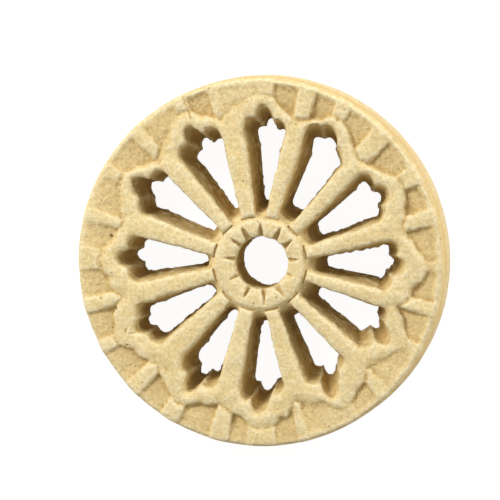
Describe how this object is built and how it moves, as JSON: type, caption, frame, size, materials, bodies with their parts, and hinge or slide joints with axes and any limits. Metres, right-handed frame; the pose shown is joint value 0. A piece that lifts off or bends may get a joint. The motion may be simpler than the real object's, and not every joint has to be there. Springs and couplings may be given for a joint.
{
  "type": "carved stone rosette",
  "caption": "Small round rose window carved in one piece of soft pale stone, with trefoil-headed openings between spokes round a pierced hub.",
  "frame": {"origin": "middle of the flat back, on the surface that the rosette lies on", "axes": "+Z out of the carved face along the disc's axis, +Y towards the top of the window"},
  "size_m": [0.1578, 0.1578, 0.024],
  "materials": {
    "stone": "dry, fine-grained, warm pale yellow, softly worn"
  },
  "bodies": {
    "root": {"rosette": "stone"}
  },
  "joints": []
}
